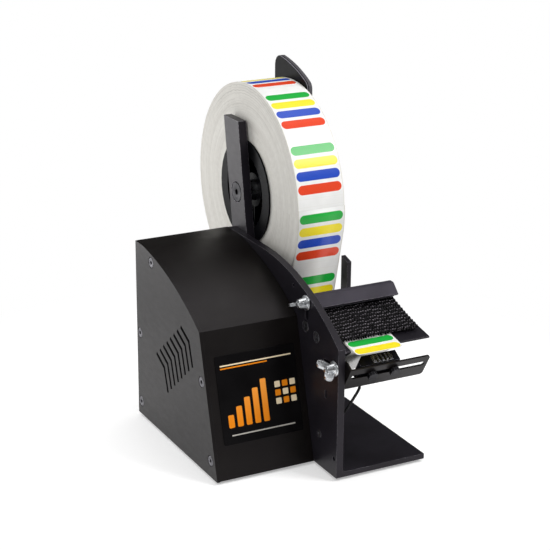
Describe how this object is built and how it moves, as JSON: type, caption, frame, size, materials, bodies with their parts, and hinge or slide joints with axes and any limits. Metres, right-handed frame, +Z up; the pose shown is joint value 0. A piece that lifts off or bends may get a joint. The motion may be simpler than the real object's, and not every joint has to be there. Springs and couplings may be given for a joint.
{
  "type": "label dispenser",
  "caption": "Desk label dispenser: a covered side frame holds a label roll on an upright, with a brush hood, peel plate, slotted sensor bar, wing nuts and a motor driven liner roller.",
  "frame": {"origin": "centre of the bounding box in plan, on the desk plane under the rubber feet", "axes": "+X to the machine's right, towards the label roll's open side; +Y to the rear, away from where labels come out; +Z up"},
  "size_m": [0.1888, 0.31, 0.3155],
  "materials": {
    "frame_black": "satin black anodised or painted aluminium",
    "cover_black": "satin black powder coat on thin sheet",
    "hood_black": "satin black anodised extrusion",
    "overlay_gloss": null,
    "plastic_black": "fine textured black moulding",
    "bristle_black": "crimped black bristles",
    "rubber_black": "matte black rubber",
    "steel_bright": "bright zinc plated or turned steel",
    "steel_black": "black oxide steel",
    "roll_paper": "wound label stock with printed bars",
    "web_paper": "white liner with labels",
    "label_face": "gloss label with printed bars",
    "core_card": "plain wound card",
    "board_green": "green laminate with moulded parts",
    "window_dark": "smoked window with light ribs"
  },
  "bodies": {
    "frame": {"side_frame": "frame_black", "side_cover": "cover_black", "wrap_cover": "cover_black", "rear_panel": "cover_black", "base_panel": "cover_black", "front_overlay": "overlay_gloss", "cover_screw_1": "steel_black", "cover_screw_2": "steel_black", "cover_screw_3": "steel_black", "cover_screw_4": "steel_black", "cover_screw_5": "steel_black", "foot_front_left": "rubber_black", "foot_front_right": "rubber_black", "foot_rear_left": "rubber_black", "foot_rear_right": "rubber_black", "upright_bar": "frame_black", "bar_screw_1": "steel_black", "bar_screw_2": "steel_black", "hub_screw": "steel_black", "frame_screw": "steel_black", "roll_axle": "steel_bright", "peel_plate": "frame_black", "peel_screw_1": "steel_black", "peel_screw_2": "steel_black", "guide_rod": "frame_black", "guide_rod_screw": "steel_black", "sensor_cable": "rubber_black", "cable_grommet": "rubber_black", "drive_bearing": "steel_bright", "pinch_shaft": "steel_bright", "gearmotor": "steel_bright", "circuit_board": "board_green", "power_jack": "plastic_black", "switch_bezel": "plastic_black", "label_web": "web_paper", "dispensed_label": "label_face"},
    "reel": {"core_hub": "plastic_black", "paper_core": "core_card", "label_roll": "roll_paper"},
    "outer_guide": {"outer_guide": "plastic_black"},
    "guide_knob": {"guide_knob": "plastic_black"},
    "hood_mount": {"hood_bolt": "steel_bright"},
    "hood_nut": {"hood_wing_nut": "steel_bright"},
    "hood": {"brush_hood": "hood_black", "brush_upper": "bristle_black", "brush_lower": "bristle_black"},
    "bar_mount": {"bar_bolt": "steel_bright"},
    "bar_nut": {"bar_wing_nut": "steel_bright"},
    "sensor_bar": {"sensor_bar": "cover_black"},
    "sensor": {"sensor_block": "plastic_black", "sensor_window": "window_dark", "sensor_screw_1": "steel_black", "sensor_screw_2": "steel_black"},
    "edge_guide": {"edge_guide": "frame_black", "edge_guide_screw": "steel_bright"},
    "drive": {"drive_shaft": "steel_bright", "drive_roller": "rubber_black"},
    "pinch": {"pinch_roller": "plastic_black"},
    "switch": {"switch_rocker": "plastic_black"}
  },
  "joints": [
    {"name": "reel_spin", "type": "hinge", "parent": "frame", "child": "reel", "pos_m": [0.03785, 0.05649, 0.2], "axis": [1, 0, 0], "continuous": true},
    {"name": "outer_guide_slide", "type": "slide", "parent": "frame", "child": "outer_guide", "axis": [1, 0, 0], "range_m": [0, 0.0105]},
    {"name": "guide_knob_turn", "type": "hinge", "parent": "outer_guide", "child": "guide_knob", "pos_m": [0.07525, 0.05649, 0.2], "axis": [1, 0, 0], "continuous": true},
    {"name": "hood_slide", "type": "slide", "parent": "frame", "child": "hood_mount", "axis": [0, 0, -1], "range_m": [0, 0.004], "deforming": ["brush_upper", "brush_lower"]},
    {"name": "hood_tilt", "type": "hinge", "parent": "hood_mount", "child": "hood", "pos_m": [0.04335, -0.09001, 0.1425], "axis": [1, 0, 0], "range_deg": [-50, 0]},
    {"name": "hood_nut_turn", "type": "hinge", "parent": "hood_mount", "child": "hood_nut", "pos_m": [-0.00855, -0.09001, 0.1425], "axis": [1, 0, 0], "continuous": true},
    {"name": "bar_slide", "type": "slide", "parent": "frame", "child": "bar_mount", "axis": [0, 1, 0], "range_m": [0, 0.003]},
    {"name": "bar_tilt", "type": "hinge", "parent": "bar_mount", "child": "sensor_bar", "pos_m": [0.04335, -0.13941, 0.101], "axis": [1, 0, 0], "range_deg": [-5, 15]},
    {"name": "bar_nut_turn", "type": "hinge", "parent": "bar_mount", "child": "bar_nut", "pos_m": [-0.00855, -0.13941, 0.101], "axis": [1, 0, 0], "continuous": true},
    {"name": "sensor_slide", "type": "slide", "parent": "sensor_bar", "child": "sensor", "axis": [1, 0, 0], "range_m": [-0.004, 0.006]},
    {"name": "edge_guide_slide", "type": "slide", "parent": "frame", "child": "edge_guide", "axis": [1, 0, 0], "range_m": [-0.0053, 0.003]},
    {"name": "drive_spin", "type": "hinge", "parent": "frame", "child": "drive", "pos_m": [0.03465, -0.06501, 0.076], "axis": [1, 0, 0], "continuous": true},
    {"name": "pinch_spin", "type": "hinge", "parent": "frame", "child": "pinch", "pos_m": [0.03465, -0.05416, 0.05721], "axis": [1, 0, 0], "continuous": true},
    {"name": "switch_rock", "type": "hinge", "parent": "frame", "child": "switch", "pos_m": [-0.04555, 0.05499, 0.032], "axis": [1, 0, 0], "range_deg": [-16, 0]}
  ],
  "couplings": [
    {"joint": "pinch_spin", "follows": "drive_spin", "ratio": -1.5875}
  ]
}
